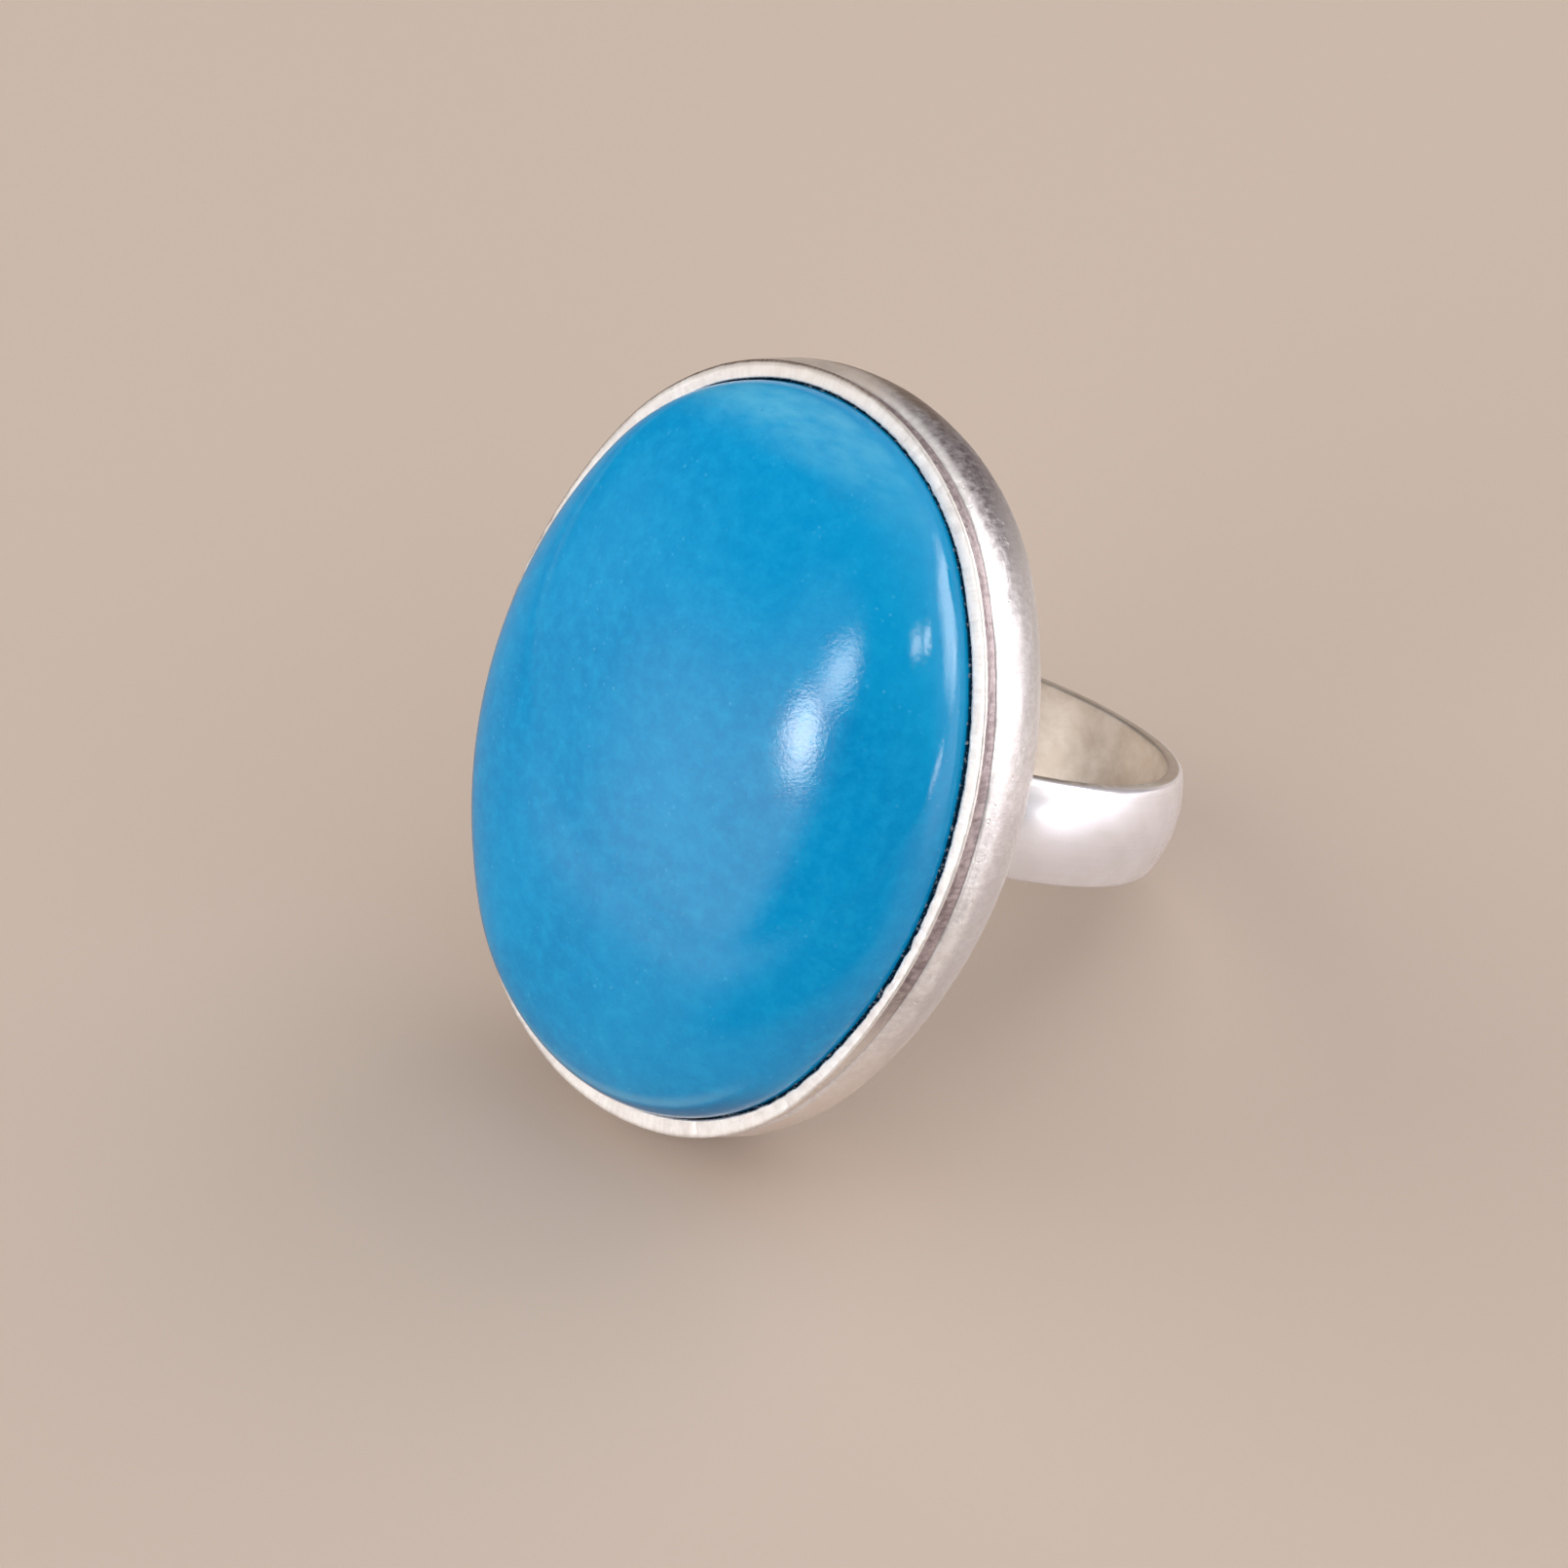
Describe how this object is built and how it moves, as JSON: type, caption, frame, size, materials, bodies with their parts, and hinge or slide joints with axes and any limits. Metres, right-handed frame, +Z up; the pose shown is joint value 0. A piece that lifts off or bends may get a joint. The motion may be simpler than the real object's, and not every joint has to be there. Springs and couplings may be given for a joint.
{
  "type": "turquoise cabochon ring",
  "caption": "Silver finger ring with a large oval turquoise cabochon in a lipped, convex bezel on a plain D-section band, lying on its side.",
  "frame": {"origin": "on the floor, under the middle of the bounding box of the ring as it lies", "axes": "+Z up from the floor the ring lies on, -Y the side that the stone faces, X across the stone and the band"},
  "size_m": [0.0218, 0.0288, 0.0256],
  "materials": {
    "silver": "polished silver, worn and finely brushed",
    "turquoise": "polished"
  },
  "bodies": {
    "root": {"setting": "silver", "stone": "turquoise"}
  },
  "joints": []
}
